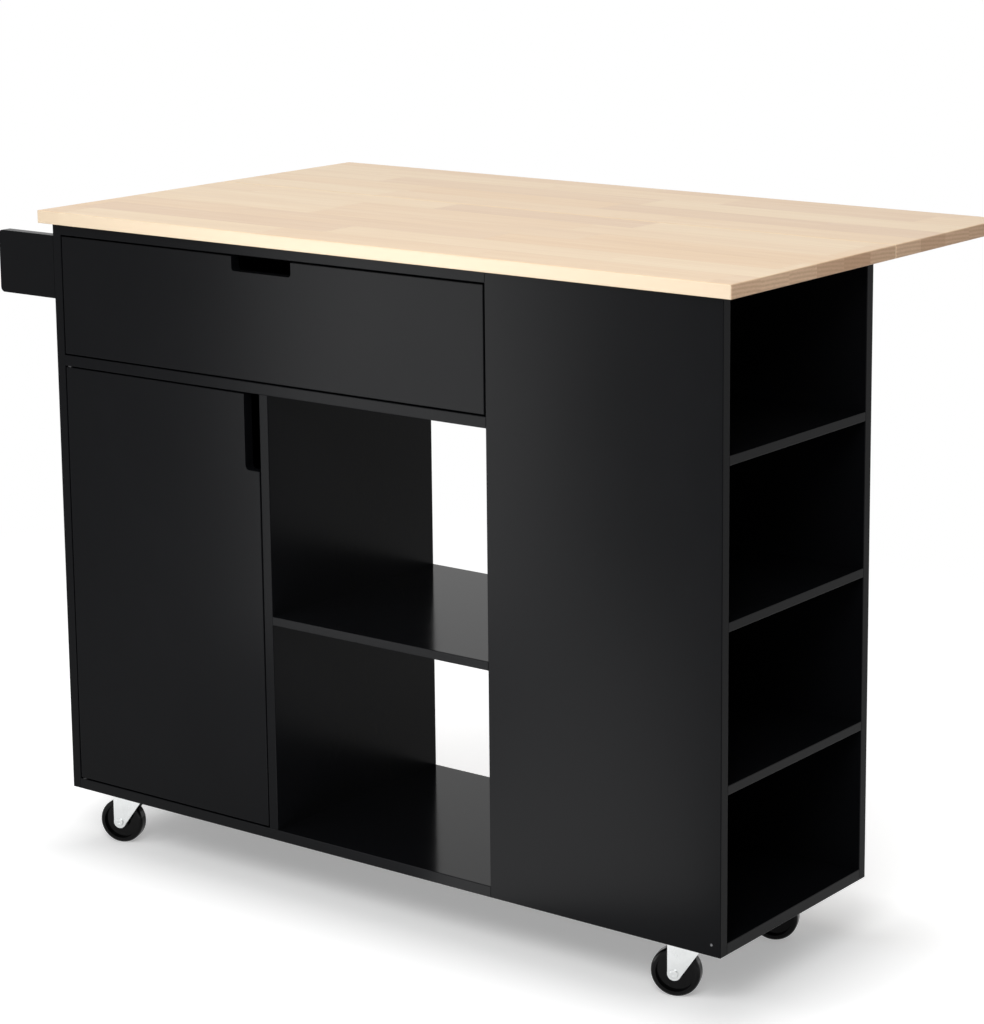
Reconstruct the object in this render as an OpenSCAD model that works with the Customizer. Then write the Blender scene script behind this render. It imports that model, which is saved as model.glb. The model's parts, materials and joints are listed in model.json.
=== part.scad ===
// Kitchen island cart on four swivel casters. A butcher-block worktop carries a drop leaf
// along its back edge. Below it are one wide drawer, a cupboard with a door, a bay that is
// open front and back, a shelf unit open at the right end and a bottle rack on the left end.
// Millimetres, +Z up, the front faces -Y. The origin is on the floor, below the middle of
// the whole cart with its leaf raised. Inside the modules x and y are measured from the
// front left corner of the cabinet, and z from the floor.

/* [Worktop] */
// Height of the worktop's upper face above the floor
worktop_height = 915; // [880:1:950]
// Thickness of the worktop and of its leaf
worktop_t = 18; // [16:1:30]
// Overhang of the worktop past the cabinet's front
overhang_front = 10; // [2:1:20]
// Overhang past the cabinet's left end
overhang_left = 19; // [5:1:40]
// Overhang past the cabinet's right end
overhang_right = 17; // [5:1:40]
// Distance from the cabinet's back to the seam where the leaf begins
overhang_back = 25.5; // [24:0.5:32]
// Radius of the worktop's eased edges
worktop_edge_r = 2; // [1:0.5:4]

/* [Drop leaf] */
// Depth of the leaf, front to back
leaf_d = 286; // [240:1:320]
// Gap in the seam between the worktop and the leaf
seam_gap = 0.6; // [0.4:0.1:1.5]
// Number of butt hinges along the seam
leaf_hinges = 3; // [2:1:4]
// Distance of the outer butt hinges from the cabinet's ends
leaf_hinge_inset = 90; // [60:5:120]
// Length of a butt hinge
leaf_hinge_l = 64; // [50:1:80]
// Width of each flap of a butt hinge
leaf_hinge_flap = 22; // [18:0.5:23]
// Thickness of a butt hinge's plate
leaf_hinge_plate_t = 1.5; // [1:0.1:2]
// Diameter of a butt hinge's barrel
leaf_hinge_barrel_d = 6; // [5:0.1:7]
// Gap between a butt hinge's barrel and the worktop's underside
leaf_hinge_clear = 0.5; // [0.3:0.1:0.9]
// Diameter of a butt hinge's pin
leaf_hinge_pin_d = 3; // [2:0.1:3.4]
// Diameter of the screw holes in the butt hinges
leaf_hinge_screw_d = 4; // [3:0.1:5]

/* [Leaf stays] */
// Distance of the two stays from the cabinet's ends
stay_inset = 190; // [175:5:280]
// Distance from the leaf's hinge axis out to a strut's pivot
stay_reach = 130; // [120:1:150]
// Depth of a strut's foot below the leaf's hinge axis, with the leaf raised
stay_drop = 110; // [100:1:120]
// Width of a strut
strut_w = 12; // [10:0.5:13]
// Thickness of a strut
strut_t = 4; // [3:0.5:5]
// Diameter of a strut's pivot pin
strut_pin_d = 4; // [3:0.1:5]
// Side play of a strut in its bracket
strut_play = 0.5; // [0.3:0.1:0.8]
// Distance from the leaf's underside down to a strut's pivot
stay_pin_drop = 9; // [8.5:0.1:10]
// Diameter of the heads of a strut's pivot pin
strut_pin_head_d = 7; // [6:0.5:8]
// Depth of a strut's stiffening grooves
strut_groove = 0.7; // [0.4:0.1:0.9]
// Thickness of the steel of brackets and tracks
stay_steel_t = 1.5; // [1:0.1:2]
// Diameter of the screw holes in brackets and tracks
stay_screw_d = 4; // [3:0.1:5]
// Distance of a bracket's screw holes from its edges
stay_screw_inset = 5; // [4:0.1:5.5]
// Length of a bracket's base along the leaf
stay_bracket_l = 60; // [50:1:80]
// Width of a bracket's base
stay_bracket_w = 26; // [22:1:34]
// Height of a track's side walls from the cabinet's back
track_h = 11; // [9:0.5:14]
// Side play of a foot in its track
track_play = 1.5; // [1:0.1:2]
// Length of the screw tab at each end of a track
track_tab = 16; // [14:1:22]
// Rise of the seat that holds a foot
seat_rise = 3.5; // [2:0.1:3.6]
// Length of that seat's slope
seat_l = 16; // [15:0.5:20]

/* [Cabinet] */
// Depth of the cabinet, front to back
cabinet_d = 342.5; // [320:0.5:360]
// Thickness of the panels
board_t = 15; // [12:0.5:18]
// Thickness of the open shelves
shelf_t = 12; // [10:0.5:16]
// Clear width of the door cupboard
cupboard_w = 360; // [320:1:400]
// Clear width of the open bay
bay_w = 362.5; // [320:0.5:400]
// Width of the end shelf unit over its side panel
end_unit_w = 351.5; // [320:0.5:380]
// Clear height of the drawer opening
drawer_opening_h = 168; // [150:1:180]
// Depth of the rail over the drawer
top_rail_d = 70; // [50:1:90]
// Thickness of the cupboard's back panel
cupboard_back_t = 9; // [6:0.5:12]
// Clear height under the open bay's shelf
bay_lower_h = 286.5; // [250:0.5:320]
// Clear height over the upper end shelf
end_upper_h = 191; // [170:1:210]
// Distance from one end shelf to the next
end_shelf_pitch = 203; // [180:1:210]
// Radius of the panels' eased front edges
board_edge_r = 1; // [0.5:0.1:1.5]

/* [Adjustable shelf] */
// Thickness of the cupboard's adjustable shelf
adjustable_t = 15; // [12:0.5:18]
// Play of the adjustable shelf at each side
adjustable_play = 1; // [0.5:0.1:2]
// Set-back of the adjustable shelf behind the door
adjustable_setback = 20; // [18:1:40]
// Diameter of a shelf pin
shelf_pin_d = 5; // [4:0.1:6]
// Depth of a shelf pin's hole
shelf_pin_depth = 10; // [8:0.5:11]
// Reach of a shelf pin's tongue under the shelf
shelf_pin_reach = 9; // [7:0.5:12]
// Number of holes in a row
pin_holes = 7; // [5:1:9]
// Distance between the holes of a row
pin_pitch = 32; // [25:1:38]
// Height of a row's lowest hole over the cupboard's floor
pin_row_start = 190; // [150:1:220]
// Distance of a row from the shelf's front or back edge
pin_row_inset = 45; // [30:1:60]
// Number of holes of a row below the ones that carry the shelf
pin_holes_below = 3; // [0:1:4]

/* [Drawer] */
// Gap round the drawer's front and round the door
reveal = 2; // [1.5:0.1:3]
// Thickness of the drawer's sides and back
drawer_side_t = 12; // [10:0.5:15]
// Height of the drawer's sides
drawer_side_h = 110; // [90:1:120]
// Height of the drawer's sides over the deck below them
drawer_lift = 14; // [8:1:20]
// Gap between the drawer's box and the panel behind it
drawer_back_gap = 12.5; // [8:0.5:20]
// Travel of the drawer
drawer_travel = 225; // [180:1:225]
// Thickness of the drawer's bottom
drawer_bottom_t = 4; // [3:0.5:6]
// Height of the drawer's bottom over the lower edge of its sides
drawer_bottom_up = 10; // [6:1:16]
// Depth of the groove that holds the drawer's bottom
groove_d = 5; // [3:0.5:6]
// Width of the hand cut-out in the drawer's front
grip_w = 103.5; // [80:0.5:140]
// Depth of the hand cut-out
grip_h = 20; // [14:1:30]
// Corner radius of the hand cut-out
grip_r = 5; // [3:0.5:8]

/* [Drawer runners] */
// Width of a runner between the cabinet and the drawer
runner_w = 13; // [12:0.1:14]
// Height of a runner's cabinet member
runner_h = 35; // [32:0.5:45]
// Thickness of the runners' steel
runner_t = 1.2; // [1:0.1:1.5]
// Height of the lips that close in a cabinet member
runner_lip = 3; // [2:0.1:4]
// Gap between a cabinet member's lips and the drawer member's web
runner_gap = 2.3; // [1.5:0.1:2.8]
// Thickness of a ball cage's steel
cage_t = 0.8; // [0.6:0.1:1]
// Set-back of a runner behind the drawer's front
runner_setback = 2; // [1:0.5:4]
// Distance from a runner's rear end to the end of the drawer's side
runner_short = 3; // [1:0.5:6]
// Number of balls in a row
runner_balls = 6; // [4:1:7]
// Distance between the balls
ball_pitch = 11; // [9:0.5:12]
// Distance that a ball cage keeps from its runner's front end when the drawer is open
cage_end_gap = 0.5; // [0.2:0.1:1]

/* [Door] */
// Width of the corner cut-out that opens the door
door_cut_w = 25; // [18:1:35]
// Height of that cut-out
door_cut_h = 103; // [70:1:130]
// Radius in the cut-out's corner
door_cut_r = 7; // [3:0.5:12]
// Distance from the door's edge to its pivots
pivot_inset = 5; // [4.5:0.1:5.4]
// Distance from the door's front face back to its pivots
pivot_back = 4; // [4:0.1:5]
// Diameter of a door pivot
pivot_d = 4; // [3:0.1:5]
// Length of a pivot inside its bush
pivot_in_bush = 9; // [6:0.5:11]
// Length of a pivot inside the door
pivot_in_door = 16; // [12:1:25]
// Diameter of a pivot's bush, which fits between the pivot and the cabinet's front
bush_d = 7; // [6.6:0.1:7.4]
// Thickness of a bush's closed end
bush_end_t = 1.5; // [1:0.1:2]
// Height of a bush's collar in the gap over or under the door
bush_collar_t = 1; // [0.5:0.1:1.2]
// Diameter of that collar
bush_collar_d = 7.8; // [7.6:0.1:7.9]
// Height of the magnetic catch
catch_h = 40; // [30:1:60]
// Width of the magnetic catch
catch_w = 14; // [12:1:20]
// Depth of the magnetic catch
catch_d = 16; // [12:1:24]
// Distance from the door's cut-out down to the catch
catch_down = 25; // [10:1:60]
// Thickness of the strike plate on the door
strike_t = 1; // [0.6:0.1:1.5]
// Inset of the strike plate from the outline of the catch
strike_inset = 2; // [1:0.5:4]
// Gap between the catch and its strike plate
catch_gap = 0.2; // [0.1:0.05:0.3]

/* [Bottle rack] */
// Reach of the rack past the cabinet's left end
rack_reach = 107; // [90:1:120]
// Height of the rack's end plates
rack_h = 88; // [75:1:110]
// Distance from the worktop's underside down to the end plates
rack_down = 17; // [10:1:60]
// Thickness of the end plates
rack_plate_t = 15; // [12:0.5:18]
// Radius of the end plates' outer corners
rack_corner_r = 7; // [4:0.5:12]
// Thickness of the rack's floor
rack_floor_t = 12; // [9:0.5:15]
// Height of the rack's floor over the plates' lower edge
rack_floor_up = 6; // [3:1:12]
// Distance from the plates' outer edge in to the floor's edge
rack_floor_inset = 8; // [5:1:20]
// Diameter of the guard rod
rod_d = 12; // [8:0.5:14]
// Depth of the rod's sockets in the plates
rod_socket = 8; // [5:0.5:11]
// Distance from the plates' outer edge in to the rod's axis
rod_in = 16; // [11:1:30]
// Height of the rod's axis over the plates' lower edge
rod_up = 58; // [45:1:65]

/* [Casters] */
// Height of a caster, which sets the cabinet's underside
caster_h = 85; // [82:0.5:95]
// Diameter of a wheel
wheel_d = 64; // [56:1:66]
// Width of a wheel
wheel_w = 20; // [16:1:22]
// Distance of the swivel axes from the cabinet's ends
caster_inset_x = 73; // [60:0.5:90]
// Distance of the swivel axes from the cabinet's front and back
caster_inset_y = 57; // [48:0.5:60]
// Distance from a swivel's axis back to its wheel's axle
trail = 25; // [20:0.5:28]
// Angle that the casters are turned to, from straight towards the cart's left end
caster_turn = 20; // [-180:5:180]
// Width of a caster's square plate
caster_plate_w = 60; // [54:1:66]
// Thickness of that plate
caster_plate_t = 2.5; // [2:0.1:3]
// Radius of that plate's corners
caster_plate_r = 6; // [3:0.5:8]
// Distance between the plate's screw holes
caster_hole_pitch = 46; // [40:1:46]
// Diameter of the plate's screw holes
caster_hole_d = 5; // [4:0.1:6]
// Height of the swivel's thrust bearing
thrust_h = 5.5; // [5:0.1:6.5]
// Diameter of the swivel's thrust bearing
thrust_d = 32; // [28:0.5:34]
// Diameter of the fork's crown
crown_d = 42; // [40:0.5:48]
// Thickness of the fork's steel
fork_t = 2; // [1.5:0.1:2.5]
// Gap between a wheel and each leg of its fork
fork_gap = 2; // [1.5:0.1:2.5]
// Diameter of the rounded end of a fork's leg
fork_end_d = 18; // [15:0.5:22]
// Distance that a leg's front edge reaches past the swivel axis at the crown
leg_reach = 16; // [10:0.5:17]
// Angle that the front part of a leg is bent in by
leg_bend = 5; // [0:0.5:5]
// Diameter of the swivel's rivet
kingpin_d = 8; // [6:0.1:10]
// Diameter of that rivet's head
kingpin_head_d = 16; // [13:0.5:20]
// Thickness of that rivet's head
kingpin_head_t = 3; // [2:0.1:4]
// Diameter of an axle
axle_d = 6; // [5:0.1:8]
// Diameter of an axle's riveted heads
axle_head_d = 11; // [9:0.5:14]
// Thickness of an axle's heads
axle_head_t = 2.4; // [1.5:0.1:3]
// Radius of the rounded edge of an axle's heads
axle_head_r = 1.2; // [0.6:0.1:1.4]
// Diameter of the dimple that the riveting leaves in a head
axle_dimple_d = 4.5; // [3:0.1:5]
// Depth of that dimple
axle_dimple_h = 1.2; // [0.5:0.1:1.4]
// Radius of a wheel's shoulders
wheel_shoulder_r = 5; // [3:0.1:6]
// Diameter of a wheel's hub
wheel_hub_d = 22; // [16:0.5:26]
// Depth of the dish in each side of a wheel
wheel_dish = 5; // [2:0.5:7]
// Width of a wheel's rim inside its tread
wheel_rim_w = 7; // [6:0.5:9]

/* [Fits] */
// Radial clearance of pins, rods and axles in their holes
fit = 0.05; // [0.02:0.01:0.1]
// Gap between faces that turn or slide past each other
turn_gap = 0.3; // [0.25:0.05:0.5]
// Gap between the end of a pin or rod and the bottom of its hole
pin_end_gap = 0.5; // [0.3:0.1:1]
// Thickness of the heads of hinge pins and pivot pins
pin_head_t = 1.2; // [1:0.1:1.6]

/* [Hidden] */
$fn = 64;
tiny = 0.01;
// how far a cutting shape passes the face that it cuts
over = 1;

// levels above the floor
floor_bottom = caster_h;
floor_top = floor_bottom + board_t;
top_under = worktop_height - worktop_t;
rail_under = top_under - board_t;
deck_top = rail_under - drawer_opening_h;
deck_under = deck_top - board_t;
bay_shelf_under = floor_top + bay_lower_h;

// positions across the cabinet
divider_x = board_t + cupboard_w;
bay_x = divider_x + board_t;
end_x = bay_x + bay_w;
end_inner_x = end_x + board_t;
cabinet_w = end_x + end_unit_w;

// positions from front to back
seam_y = cabinet_d + overhang_back;
leaf_back_y = seam_y + leaf_d;
inner_back_y = cabinet_d - board_t;

// the middle of the whole cart, which is the origin
mid_x = (min(-rack_reach, -overhang_left) + cabinet_w + overhang_right) / 2;
mid_y = (leaf_back_y - overhang_front) / 2;

// leaf hinges
hinge_z = top_under - leaf_hinge_barrel_d / 2 - leaf_hinge_clear;
hinge_span = cabinet_w - 2 * leaf_hinge_inset;
hinge_xs = [for (i = [0:leaf_hinges - 1]) leaf_hinge_inset + i * hinge_span / (leaf_hinges - 1)];
KNUCKLES = 5;
knuckle_w = (leaf_hinge_l - (KNUCKLES - 1) * turn_gap) / KNUCKLES;

// leaf stays, measured from the leaf's hinge axis: out towards the back, and up
stay_xs = [stay_inset, cabinet_w - stay_inset];
pivot_up = top_under - stay_pin_drop - hinge_z;
foot_out = -(overhang_back - stay_steel_t - strut_play - strut_w / 2);
strut_l = norm([stay_reach - foot_out, pivot_up + stay_drop]);
strut_angle = atan2(-stay_drop - pivot_up, foot_out - stay_reach);
folded_foot_up = -stay_reach - sqrt(pow(strut_l, 2) - pow(foot_out - pivot_up, 2));
track_inner_w = strut_t + 2 * track_play;
track_top = hinge_z - stay_drop + strut_w;
track_bottom = hinge_z + folded_foot_up - strut_w;

// drawer
drawer_front_w = end_x - board_t - 2 * reveal;
drawer_front_h = drawer_opening_h - 2 * reveal;
drawer_left = board_t + runner_w;
drawer_right = end_x - runner_w;
drawer_z = deck_top + drawer_lift;
drawer_side_l = inner_back_y - drawer_back_gap - board_t;
runner_y = board_t + runner_setback;
runner_l = drawer_side_l - runner_setback - runner_short;
runner_z = drawer_z + drawer_side_h / 2;
channel_d = runner_w - runner_t - runner_gap;
cage_x = runner_t + turn_gap;
ball_from = cage_x + cage_t + turn_gap;
ball_to = channel_d - runner_t - turn_gap;
ball_d = ball_to - ball_from;
race_out = runner_h / 2 - runner_t;
race_in = race_out - ball_d - 2 * fit;
ball_z = (race_in + race_out) / 2;
cage_l = runner_balls * ball_pitch;
cage_start = drawer_travel / 2 + cage_end_gap;

// door
bush_depth = pivot_in_bush + bush_end_t;
door_w = cupboard_w - 2 * reveal;
door_h = deck_under - floor_top - 2 * reveal;
door_x = board_t + reveal;
door_z = floor_top + reveal;
pivot_x = door_x + pivot_inset;
catch_z = door_z + door_h - door_cut_h - catch_down - catch_h;

// adjustable shelf
pin_z = floor_top + pin_row_start + pin_holes_below * pin_pitch;
adjustable_y = board_t + adjustable_setback;
adjustable_d = cabinet_d - cupboard_back_t - adjustable_play - adjustable_y;
pin_ys = [adjustable_y + pin_row_inset, adjustable_y + adjustable_d - pin_row_inset];

// end shelves
end_shelf_tops = [for (i = [0:2]) top_under - end_upper_h - i * end_shelf_pitch];

// rack
rack_z = top_under - rack_down - rack_h;

// casters, as front left, front right, back left and back right
caster_at = [
    for (y = [caster_inset_y, cabinet_d - caster_inset_y])
        for (x = [caster_inset_x, cabinet_w - caster_inset_x]) [x, y]
];
plate_under = caster_h - caster_plate_t;
crown_top = plate_under - thrust_h;
crown_under = crown_top - fork_t;
leg_inner = wheel_w / 2 + fork_gap;
leg_outer = leg_inner + fork_t;
leg_end_r = fork_end_d / 2;
leg_back = leg_end_r - turn_gap;
axle_z = wheel_d / 2;

BLACK = [0.13, 0.13, 0.14];
TOP_WOOD = [0.92, 0.8, 0.68];
STEEL = [0.72, 0.72, 0.74];
CHROME = [0.85, 0.86, 0.88];
NYLON = [0.12, 0.12, 0.125];
WHEEL_BLACK = [0.06, 0.06, 0.06];
INNER_GREY = [0.3, 0.3, 0.31];

// ---- shapes that repeat ----

// moves a piece from the cabinet's corner to the cart's own frame
module on_cart() translate([-mid_x, -mid_y, 0]) children();

module board(from, to) translate(from) cube(to - from);

module rounded_rect(w, h, r) {
    translate([r, 0]) square([w - 2 * r, h]);
    translate([0, r]) square([w, h - 2 * r]);
    for (x = [r, w - r], y = [r, h - r]) translate([x, y]) circle(r);
}

// a board with all its edges rounded
module eased_board(from, to, r) {
    size = to - from;
    translate(from) intersection() {
        linear_extrude(size.z) rounded_rect(size.x, size.y, r);
        translate([0, size.y, 0]) rotate([90, 0, 0])
            linear_extrude(size.y) rounded_rect(size.x, size.z, r);
        rotate([90, 0, 90]) linear_extrude(size.x) rounded_rect(size.y, size.z, r);
    }
}

// boards with their long edges rounded, for each direction that the edges run in
module board_along_x(from, to, r) translate(from) rotate([90, 0, 90])
    linear_extrude(to.x - from.x) rounded_rect(to.y - from.y, to.z - from.z, r);

module board_along_y(from, to, r) translate([from.x, to.y, from.z]) rotate([90, 0, 0])
    linear_extrude(to.y - from.y) rounded_rect(to.x - from.x, to.z - from.z, r);

module board_along_z(from, to, r) translate(from)
    linear_extrude(to.z - from.z) rounded_rect(to.x - from.x, to.y - from.y, r);

// a board cut from an outline drawn in x and z, from y to y + t
module cut_board(y, t) translate([0, y + t, 0]) rotate([90, 0, 0]) linear_extrude(t) children();

// a cylinder along x
module rod_x(from, to, d) translate(from) rotate([0, 90, 0]) cylinder(h = to - from.x, d = d);

// a cylinder along y
module rod_y(from, to, d) translate(from) rotate([-90, 0, 0]) cylinder(h = to - from.y, d = d);

// ---- worktop and leaf ----

module main_worktop() on_cart() color(TOP_WOOD)
    eased_board([-overhang_left, -overhang_front, top_under],
        [cabinet_w + overhang_right, seam_y - seam_gap / 2, worktop_height], worktop_edge_r);

module drop_leaf() on_cart() color(TOP_WOOD)
    eased_board([-overhang_left, seam_y + seam_gap / 2, top_under],
        [cabinet_w + overhang_right, leaf_back_y, worktop_height], worktop_edge_r);

// one flap of a butt hinge. Its knuckles are the even ones (side -1, on the worktop)
// or the odd ones (side 1, on the leaf)
module hinge_flap(x, side) {
    first = side < 0 ? 0 : 1;
    barrel_r = leaf_hinge_barrel_d / 2;
    edge = barrel_r + turn_gap;
    translate([x - leaf_hinge_l / 2, seam_y, 0]) difference() {
        union() {
            translate([0, side < 0 ? -leaf_hinge_flap : edge, top_under - leaf_hinge_plate_t])
                cube([leaf_hinge_l, leaf_hinge_flap - edge, leaf_hinge_plate_t]);
            for (k = [first:2:KNUCKLES - 1]) translate([k * (knuckle_w + turn_gap), 0, 0]) {
                translate([0, side < 0 ? -edge - tiny : 0, top_under - leaf_hinge_plate_t])
                    cube([knuckle_w, edge + tiny, leaf_hinge_plate_t]);
                rod_x([0, 0, hinge_z], knuckle_w, leaf_hinge_barrel_d);
            }
        }
        rod_x([-over, 0, hinge_z], leaf_hinge_l + over, leaf_hinge_pin_d + 2 * fit);
        for (k = [0:2:KNUCKLES - 1])
            translate([(k + 0.5) * leaf_hinge_l / KNUCKLES, side * (leaf_hinge_flap + edge) / 2,
                    top_under - leaf_hinge_plate_t - over])
                cylinder(h = leaf_hinge_plate_t + 2 * over, d = leaf_hinge_screw_d);
    }
}

module leaf_hinge_fixed_flaps() on_cart() color(STEEL)
    for (x = hinge_xs) hinge_flap(x, -1);

module leaf_hinge_moving_flaps() on_cart() color(STEEL)
    for (x = hinge_xs) hinge_flap(x, 1);

module leaf_hinge_pins() on_cart() color(STEEL)
    for (x = hinge_xs) {
        reach = leaf_hinge_l / 2 + turn_gap;
        rod_x([x - reach - tiny, seam_y, hinge_z], x + reach + tiny, leaf_hinge_pin_d);
        for (head_x = [x - reach - pin_head_t, x + reach])
            rod_x([head_x, seam_y, hinge_z], head_x + pin_head_t,
                (leaf_hinge_barrel_d + leaf_hinge_pin_d) / 2);
    }

// ---- leaf stays ----

// draws in the upright plane across a stay: first axis out to the back, second axis up,
// both from the leaf's hinge axis, and extrudes from x on by t
module stay_plane(x, t) translate([x, seam_y, hinge_z]) rotate([90, 0, 90])
    linear_extrude(t) children();

module track(x) {
    wall_out = -overhang_back;
    half = track_inner_w / 2;
    // base with its screw tabs
    difference() {
        board([x - half - stay_steel_t, cabinet_d, track_bottom - track_tab],
            [x + half + stay_steel_t, cabinet_d + stay_steel_t, track_top + track_tab]);
        for (z = [track_bottom - track_tab / 2, track_top + track_tab / 2])
            rod_y([x, cabinet_d - over, z], cabinet_d + stay_steel_t + over, stay_screw_d);
    }
    // side walls
    for (wall_x = [x - half - stay_steel_t, x + half])
        board([wall_x, cabinet_d, track_bottom], [wall_x + stay_steel_t, cabinet_d + track_h, track_top]);
    // sloping seat for the foot
    stay_plane(x - half - tiny, track_inner_w + 2 * tiny)
        polygon([
            [wall_out + stay_steel_t - tiny, -stay_drop],
            [wall_out + stay_steel_t + seat_rise, -stay_drop - seat_l],
            [wall_out + stay_steel_t - tiny, -stay_drop - seat_l - 2 * seat_rise]
        ]);
}

module stay_tracks() on_cart() color(STEEL) for (x = stay_xs) track(x);

// a base plate under the leaf with two ears that hold a strut's pivot
module stay_bracket(x) {
    ear_x = strut_t / 2 + strut_play;
    base_under = top_under - stay_steel_t;
    middle_y = seam_y + stay_reach;
    half_w = stay_bracket_w / 2;
    half_l = stay_bracket_l / 2;
    difference() {
        board([x - half_w, middle_y - half_l, base_under], [x + half_w, middle_y + half_l, top_under]);
        for (side = [-1, 1], end = [-1, 1])
            translate([x + side * (half_w - stay_screw_inset),
                    middle_y + end * (half_l - stay_screw_inset), base_under - over])
                cylinder(h = stay_steel_t + 2 * over, d = stay_screw_d);
    }
    ear_h = base_under - hinge_z - pivot_up + tiny;
    for (left = [x - ear_x - stay_steel_t, x + ear_x])
        stay_plane(left, stay_steel_t) translate([stay_reach, pivot_up]) difference() {
            union() {
                polygon([
                    [-strut_w / 2, 0], [strut_w / 2, 0],
                    [strut_w, ear_h], [-strut_w, ear_h]
                ]);
                circle(strut_w / 2);
            }
            circle(strut_pin_d / 2 + fit);
        }
}

module stay_brackets() on_cart() color(STEEL) for (x = stay_xs) stay_bracket(x);

module stay_pivot_pins() on_cart() color(STEEL)
    for (x = stay_xs) {
        outer = strut_t / 2 + strut_play + stay_steel_t;
        at = [seam_y + stay_reach, hinge_z + pivot_up];
        rod_x([x - outer - tiny, at.x, at.y], x + outer + tiny, strut_pin_d);
        for (head_x = [x - outer - pin_head_t, x + outer])
            rod_x([head_x, at.x, at.y], head_x + pin_head_t, strut_pin_head_d);
    }

// a flat bar with round ends, a pivot hole at its upper end and a stiffening groove each side
module stay_strut(x) on_cart() color(STEEL) difference() {
    stay_plane(x - strut_t / 2, strut_t) translate([stay_reach, pivot_up]) rotate(strut_angle)
        difference() {
            union() {
                translate([0, -strut_w / 2]) square([strut_l, strut_w]);
                circle(strut_w / 2);
                translate([strut_l, 0]) circle(strut_w / 2);
            }
            circle(strut_pin_d / 2 + fit);
        }
    for (side = [-1, 1]) stay_plane(x + side * strut_t / 2 - strut_groove, 2 * strut_groove)
        translate([stay_reach, pivot_up]) rotate(strut_angle)
            translate([strut_w, -strut_w / 6]) square([strut_l - 2 * strut_w, strut_w / 3]);
}

module stay_strut_left() stay_strut(stay_xs[0]);
module stay_strut_right() stay_strut(stay_xs[1]);

// ---- cabinet ----

// the blind holes for the shelf pins, on both sides of the cupboard
module pin_rows() for (y = pin_ys, i = [0:pin_holes - 1])
    rod_x([board_t - shelf_pin_depth, y, floor_top + pin_row_start + i * pin_pitch],
        divider_x + shelf_pin_depth, shelf_pin_d + 2 * fit);

module left_side_panel() on_cart() color(BLACK) difference() {
    eased_board([0, 0, floor_bottom], [board_t, cabinet_d, top_under], board_edge_r);
    pin_rows();
}

module bottom_board() on_cart() color(BLACK) difference() {
    board_along_x([board_t, 0, floor_bottom], [end_x, cabinet_d, floor_top], board_edge_r);
    bush_bore();
}

module divider_panel() on_cart() color(BLACK) difference() {
    board_along_z([divider_x, 0, floor_top], [bay_x, cabinet_d, deck_under], board_edge_r);
    pin_rows();
}

module drawer_deck() on_cart() color(BLACK) difference() {
    board_along_x([board_t, 0, deck_under], [end_x, cabinet_d, deck_top], board_edge_r);
    bush_bore();
}

module top_front_rail() on_cart() color(BLACK)
    board_along_x([board_t, 0, rail_under], [end_x, top_rail_d, top_under], board_edge_r);

module drawer_back_panel() on_cart() color(BLACK)
    board_along_x([board_t, inner_back_y, deck_top], [end_x, cabinet_d, top_under], board_edge_r);

module cupboard_back_panel() on_cart() color(BLACK)
    board([board_t, cabinet_d - cupboard_back_t, floor_top], [divider_x, cabinet_d, deck_under]);

module bay_shelf() on_cart() color(BLACK)
    board_along_x([bay_x, 0, bay_shelf_under], [end_x, cabinet_d, bay_shelf_under + shelf_t],
        board_edge_r);

module adjustable_shelf() on_cart() color(BLACK)
    eased_board([board_t + adjustable_play, adjustable_y, pin_z + shelf_pin_d / 2],
        [divider_x - adjustable_play, adjustable_y + adjustable_d, pin_z + shelf_pin_d / 2 + adjustable_t],
        board_edge_r);

// a peg in its hole, a collar on the panel and a flat tongue that carries the shelf
module shelf_pin(y) translate([0, y, pin_z]) {
    rod_x([-shelf_pin_depth + pin_end_gap, 0, 0], tiny, shelf_pin_d);
    rod_x([0, 0, -shelf_pin_d / 2], adjustable_play, 2 * shelf_pin_d);
    translate([0, -shelf_pin_d / 2, -shelf_pin_d / 2]) cube([shelf_pin_reach, shelf_pin_d, shelf_pin_d]);
}

module shelf_pins() on_cart() color(STEEL) for (y = pin_ys) {
    translate([board_t, 0, 0]) shelf_pin(y);
    translate([divider_x, 0, 0]) mirror([1, 0, 0]) shelf_pin(y);
}

// ---- end shelf unit ----

module end_inner_panel() on_cart() color(BLACK)
    board([end_x, board_t, floor_bottom], [end_inner_x, inner_back_y, top_under]);

module end_front_panel() on_cart() color(BLACK)
    eased_board([end_x, 0, floor_bottom], [cabinet_w, board_t, top_under], board_edge_r);

module end_back_panel() on_cart() color(BLACK)
    eased_board([end_x, inner_back_y, floor_bottom], [cabinet_w, cabinet_d, top_under], board_edge_r);

module end_floor_board() on_cart() color(BLACK)
    board_along_y([end_inner_x, board_t, floor_bottom], [cabinet_w, inner_back_y, floor_top],
        board_edge_r);

module end_shelf(top) on_cart() color(BLACK)
    board_along_y([end_inner_x, board_t, top - shelf_t], [cabinet_w, inner_back_y, top],
        board_edge_r);

module end_shelf_upper() end_shelf(end_shelf_tops[0]);
module end_shelf_middle() end_shelf(end_shelf_tops[1]);
module end_shelf_lower() end_shelf(end_shelf_tops[2]);

// ---- drawer ----

// an opening cut down from an edge, with rounded inner corners
module grip_outline(w, h, r) {
    translate([r, 0]) square([w - 2 * r, h + over]);
    translate([0, r]) square([w, h - r + over]);
    for (x = [r, w - r]) translate([x, r]) circle(r);
}

// the drawer's bottom, and with play the groove it lies in
module drawer_bottom_space(play)
    board([drawer_left + drawer_side_t - groove_d - play, board_t - groove_d - play,
            drawer_z + drawer_bottom_up - play],
        [drawer_right - drawer_side_t + groove_d + play,
            board_t + drawer_side_l - drawer_side_t + groove_d + play,
            drawer_z + drawer_bottom_up + drawer_bottom_t + play]);

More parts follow.
